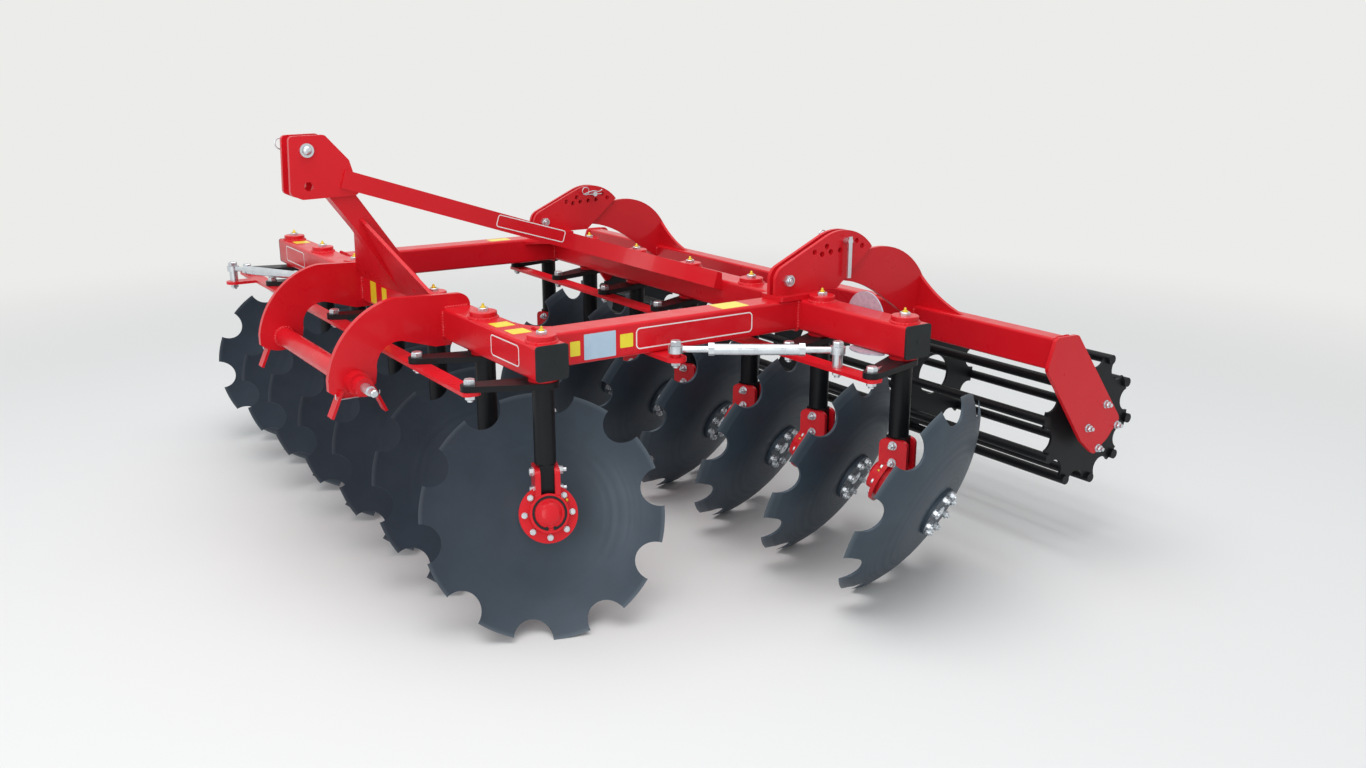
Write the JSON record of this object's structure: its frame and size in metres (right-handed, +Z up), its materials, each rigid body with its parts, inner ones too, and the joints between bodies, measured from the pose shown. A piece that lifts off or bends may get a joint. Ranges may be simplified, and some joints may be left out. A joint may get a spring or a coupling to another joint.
{
  "type": "mounted disc harrow",
  "caption": "Mounted disc harrow: square-tube frame on a three-point hitch, two rows of notched discs on swivelling stalks with turnbuckle angle setting, and a rear cage roller.",
  "frame": {"origin": "ground level, centre of the bounding box", "axes": "+X to the machine's left, +Y to the rear, +Z up"},
  "size_m": [2.833, 2.2461, 1.2683],
  "materials": {
    "red_paint": "gloss",
    "black_paint": "satin",
    "disc_steel": "satin",
    "zinc_plate": "satin",
    "black_plastic": "matte"
  },
  "bodies": {
    "frame": {"cross_beams": "red_paint", "side_beams": "red_paint", "stalk_bushes": "red_paint", "beam_end_caps": "black_plastic", "hitch_frame": "red_paint", "hitch_pins": "zinc_plate", "mast": "red_paint", "top_brace": "red_paint", "roller_brackets": "red_paint", "bracket_pins": "zinc_plate"},
    "front_swivel_1": {"front_stalk_1": "black_paint", "front_hub_1": "red_paint"},
    "front_wheel_1": {"front_disc_1": "disc_steel"},
    "front_swivel_2": {"front_stalk_2": "black_paint", "front_hub_2": "red_paint"},
    "front_wheel_2": {"front_disc_2": "disc_steel"},
    "front_swivel_3": {"front_stalk_3": "black_paint", "front_hub_3": "red_paint"},
    "front_wheel_3": {"front_disc_3": "disc_steel"},
    "front_swivel_4": {"front_stalk_4": "black_paint", "front_hub_4": "red_paint"},
    "front_wheel_4": {"front_disc_4": "disc_steel"},
    "front_swivel_5": {"front_stalk_5": "black_paint", "front_hub_5": "red_paint"},
    "front_wheel_5": {"front_disc_5": "disc_steel"},
    "front_swivel_6": {"front_stalk_6": "black_paint", "front_hub_6": "red_paint"},
    "front_wheel_6": {"front_disc_6": "disc_steel"},
    "front_swivel_7": {"front_stalk_7": "black_paint", "front_hub_7": "red_paint"},
    "front_wheel_7": {"front_disc_7": "disc_steel"},
    "front_tie": {"front_tie_bar": "red_paint"},
    "rear_swivel_1": {"rear_stalk_1": "black_paint", "rear_hub_1": "red_paint"},
    "rear_wheel_1": {"rear_disc_1": "disc_steel"},
    "rear_swivel_2": {"rear_stalk_2": "black_paint", "rear_hub_2": "red_paint"},
    "rear_wheel_2": {"rear_disc_2": "disc_steel"},
    "rear_swivel_3": {"rear_stalk_3": "black_paint", "rear_hub_3": "red_paint"},
    "rear_wheel_3": {"rear_disc_3": "disc_steel"},
    "rear_swivel_4": {"rear_stalk_4": "black_paint", "rear_hub_4": "red_paint"},
    "rear_wheel_4": {"rear_disc_4": "disc_steel"},
    "rear_swivel_5": {"rear_stalk_5": "black_paint", "rear_hub_5": "red_paint"},
    "rear_wheel_5": {"rear_disc_5": "disc_steel"},
    "rear_swivel_6": {"rear_stalk_6": "black_paint", "rear_hub_6": "red_paint"},
    "rear_wheel_6": {"rear_disc_6": "disc_steel"},
    "rear_swivel_7": {"rear_stalk_7": "black_paint", "rear_hub_7": "red_paint"},
    "rear_wheel_7": {"rear_disc_7": "disc_steel"},
    "rear_tie": {"rear_tie_bar": "red_paint"},
    "front_barrel": {"front_turnbuckle_barrel": "zinc_plate"},
    "front_rod": {"front_turnbuckle_rod": "zinc_plate"},
    "rear_barrel": {"rear_turnbuckle_barrel": "zinc_plate"},
    "rear_rod": {"rear_turnbuckle_rod": "zinc_plate"},
    "roller_frame": {"roller_frame": "red_paint"},
    "roller": {"roller": "black_paint"}
  },
  "joints": [
    {"name": "front_angle", "type": "hinge", "parent": "frame", "child": "front_swivel_1", "pos_m": [-1.2, -0.733, 0.69], "axis": [0, 0, -1], "range_deg": [-10, 5]},
    {"name": "front_disc_1_spin", "type": "hinge", "parent": "front_swivel_1", "child": "front_wheel_1", "pos_m": [-1.2, -0.733, 0.3233], "axis": [0.865, -0.3148, 0.3907], "continuous": true},
    {"name": "front_swivel_2_turn", "type": "hinge", "parent": "frame", "child": "front_swivel_2", "pos_m": [-0.85714, -0.733, 0.69], "axis": [0, 0, -1], "range_deg": [-10, 5]},
    {"name": "front_disc_2_spin", "type": "hinge", "parent": "front_swivel_2", "child": "front_wheel_2", "pos_m": [-0.85714, -0.733, 0.3233], "axis": [0.865, -0.3148, 0.3907], "continuous": true},
    {"name": "front_swivel_3_turn", "type": "hinge", "parent": "frame", "child": "front_swivel_3", "pos_m": [-0.51429, -0.733, 0.69], "axis": [0, 0, -1], "range_deg": [-10, 5]},
    {"name": "front_disc_3_spin", "type": "hinge", "parent": "front_swivel_3", "child": "front_wheel_3", "pos_m": [-0.51429, -0.733, 0.3233], "axis": [0.865, -0.3148, 0.3907], "continuous": true},
    {"name": "front_swivel_4_turn", "type": "hinge", "parent": "frame", "child": "front_swivel_4", "pos_m": [-0.17143, -0.733, 0.69], "axis": [0, 0, -1], "range_deg": [-10, 5]},
    {"name": "front_disc_4_spin", "type": "hinge", "parent": "front_swivel_4", "child": "front_wheel_4", "pos_m": [-0.17143, -0.733, 0.3233], "axis": [0.865, -0.3148, 0.3907], "continuous": true},
    {"name": "front_swivel_5_turn", "type": "hinge", "parent": "frame", "child": "front_swivel_5", "pos_m": [0.17143, -0.733, 0.69], "axis": [0, 0, -1], "range_deg": [-10, 5]},
    {"name": "front_disc_5_spin", "type": "hinge", "parent": "front_swivel_5", "child": "front_wheel_5", "pos_m": [0.17143, -0.733, 0.3233], "axis": [0.865, -0.3148, 0.3907], "continuous": true},
    {"name": "front_swivel_6_turn", "type": "hinge", "parent": "frame", "child": "front_swivel_6", "pos_m": [0.51429, -0.733, 0.69], "axis": [0, 0, -1], "range_deg": [-10, 5]},
    {"name": "front_disc_6_spin", "type": "hinge", "parent": "front_swivel_6", "child": "front_wheel_6", "pos_m": [0.51429, -0.733, 0.3233], "axis": [0.865, -0.3148, 0.3907], "continuous": true},
    {"name": "front_swivel_7_turn", "type": "hinge", "parent": "frame", "child": "front_swivel_7", "pos_m": [0.85714, -0.733, 0.69], "axis": [0, 0, -1], "range_deg": [-10, 5]},
    {"name": "front_disc_7_spin", "type": "hinge", "parent": "front_swivel_7", "child": "front_wheel_7", "pos_m": [0.85714, -0.733, 0.3233], "axis": [0.865, -0.3148, 0.3907], "continuous": true},
    {"name": "front_tie_pivot", "type": "hinge", "parent": "front_swivel_1", "child": "front_tie", "pos_m": [-1.26327, -0.90684, 0.68], "axis": [0, 0, -1], "range_deg": [-5.5, 10.5]},
    {"name": "rear_swivel_1_turn", "type": "hinge", "parent": "frame", "child": "rear_swivel_1", "pos_m": [-0.85714, 0.197, 0.69], "axis": [0, 0, 1], "range_deg": [-10, 5]},
    {"name": "rear_disc_1_spin", "type": "hinge", "parent": "rear_swivel_1", "child": "rear_wheel_1", "pos_m": [-0.85714, 0.197, 0.3233], "axis": [-0.865, -0.3148, 0.3907], "continuous": true},
    {"name": "rear_swivel_2_turn", "type": "hinge", "parent": "frame", "child": "rear_swivel_2", "pos_m": [-0.51429, 0.197, 0.69], "axis": [0, 0, 1], "range_deg": [-10, 5]},
    {"name": "rear_disc_2_spin", "type": "hinge", "parent": "rear_swivel_2", "child": "rear_wheel_2", "pos_m": [-0.51429, 0.197, 0.3233], "axis": [-0.865, -0.3148, 0.3907], "continuous": true},
    {"name": "rear_swivel_3_turn", "type": "hinge", "parent": "frame", "child": "rear_swivel_3", "pos_m": [-0.17143, 0.197, 0.69], "axis": [0, 0, 1], "range_deg": [-10, 5]},
    {"name": "rear_disc_3_spin", "type": "hinge", "parent": "rear_swivel_3", "child": "rear_wheel_3", "pos_m": [-0.17143, 0.197, 0.3233], "axis": [-0.865, -0.3148, 0.3907], "continuous": true},
    {"name": "rear_swivel_4_turn", "type": "hinge", "parent": "frame", "child": "rear_swivel_4", "pos_m": [0.17143, 0.197, 0.69], "axis": [0, 0, 1], "range_deg": [-10, 5]},
    {"name": "rear_disc_4_spin", "type": "hinge", "parent": "rear_swivel_4", "child": "rear_wheel_4", "pos_m": [0.17143, 0.197, 0.3233], "axis": [-0.865, -0.3148, 0.3907], "continuous": true},
    {"name": "rear_swivel_5_turn", "type": "hinge", "parent": "frame", "child": "rear_swivel_5", "pos_m": [0.51429, 0.197, 0.69], "axis": [0, 0, 1], "range_deg": [-10, 5]},
    {"name": "rear_disc_5_spin", "type": "hinge", "parent": "rear_swivel_5", "child": "rear_wheel_5", "pos_m": [0.51429, 0.197, 0.3233], "axis": [-0.865, -0.3148, 0.3907], "continuous": true},
    {"name": "rear_swivel_6_turn", "type": "hinge", "parent": "frame", "child": "rear_swivel_6", "pos_m": [0.85714, 0.197, 0.69], "axis": [0, 0, 1], "range_deg": [-10, 5]},
    {"name": "rear_disc_6_spin", "type": "hinge", "parent": "rear_swivel_6", "child": "rear_wheel_6", "pos_m": [0.85714, 0.197, 0.3233], "axis": [-0.865, -0.3148, 0.3907], "continuous": true},
    {"name": "rear_angle", "type": "hinge", "parent": "frame", "child": "rear_swivel_7", "pos_m": [1.2, 0.197, 0.69], "axis": [0, 0, 1], "range_deg": [-10, 5]},
    {"name": "rear_disc_7_spin", "type": "hinge", "parent": "rear_swivel_7", "child": "rear_wheel_7", "pos_m": [1.2, 0.197, 0.3233], "axis": [-0.865, -0.3148, 0.3907], "continuous": true},
    {"name": "rear_tie_pivot", "type": "hinge", "parent": "rear_swivel_7", "child": "rear_tie", "pos_m": [1.26327, 0.02316, 0.68], "axis": [0, 0, 1], "range_deg": [-5.5, 10.5]},
    {"name": "front_barrel_pivot", "type": "hinge", "parent": "frame", "child": "front_barrel", "pos_m": [-0.743, -0.818, 0.721], "axis": [0, 0, -1], "range_deg": [-3.74, 1.97]},
    {"name": "front_rod_slide", "type": "slide", "parent": "front_barrel", "child": "front_rod", "axis": [-0.8786, -0.4776, 0], "range_m": [-0.02254, 0.01152]},
    {"name": "rear_barrel_pivot", "type": "hinge", "parent": "frame", "child": "rear_barrel", "pos_m": [0.876, -0.337, 0.721], "axis": [0, 0, 1], "range_deg": [-1.51, 2.82]},
    {"name": "rear_rod_slide", "type": "slide", "parent": "rear_barrel", "child": "rear_rod", "axis": [0.5733, 0.8193, 0], "range_m": [-0.02567, 0.01309]},
    {"name": "roller_lift", "type": "hinge", "parent": "frame", "child": "roller_frame", "pos_m": [0, 0.125, 0.849], "axis": [1, 0, 0], "range_deg": [-5, 5]},
    {"name": "roller_spin", "type": "hinge", "parent": "roller_frame", "child": "roller", "pos_m": [0, 0.909, 0.415], "axis": [1, 0, 0], "continuous": true}
  ],
  "couplings": [
    {"joint": "front_swivel_2_turn", "follows": "front_angle", "ratio": 1},
    {"joint": "front_swivel_3_turn", "follows": "front_angle", "ratio": 1},
    {"joint": "front_swivel_4_turn", "follows": "front_angle", "ratio": 1},
    {"joint": "front_swivel_5_turn", "follows": "front_angle", "ratio": 1},
    {"joint": "front_swivel_6_turn", "follows": "front_angle", "ratio": 1},
    {"joint": "front_swivel_7_turn", "follows": "front_angle", "ratio": 1},
    {"joint": "front_tie_pivot", "follows": "front_angle", "ratio": -1},
    {"joint": "rear_swivel_1_turn", "follows": "rear_angle", "ratio": 1},
    {"joint": "rear_swivel_2_turn", "follows": "rear_angle", "ratio": 1},
    {"joint": "rear_swivel_3_turn", "follows": "rear_angle", "ratio": 1},
    {"joint": "rear_swivel_4_turn", "follows": "rear_angle", "ratio": 1},
    {"joint": "rear_swivel_5_turn", "follows": "rear_angle", "ratio": 1},
    {"joint": "rear_swivel_6_turn", "follows": "rear_angle", "ratio": 1},
    {"joint": "rear_tie_pivot", "follows": "rear_angle", "ratio": -1},
    {"joint": "front_barrel_pivot", "follows": "front_angle", "ratio": 0.3541},
    {"joint": "front_rod_slide", "follows": "front_angle", "m_per_rad": 0.12629},
    {"joint": "rear_barrel_pivot", "follows": "rear_angle", "ratio": -0.26189},
    {"joint": "rear_rod_slide", "follows": "rear_angle", "m_per_rad": 0.14422}
  ]
}
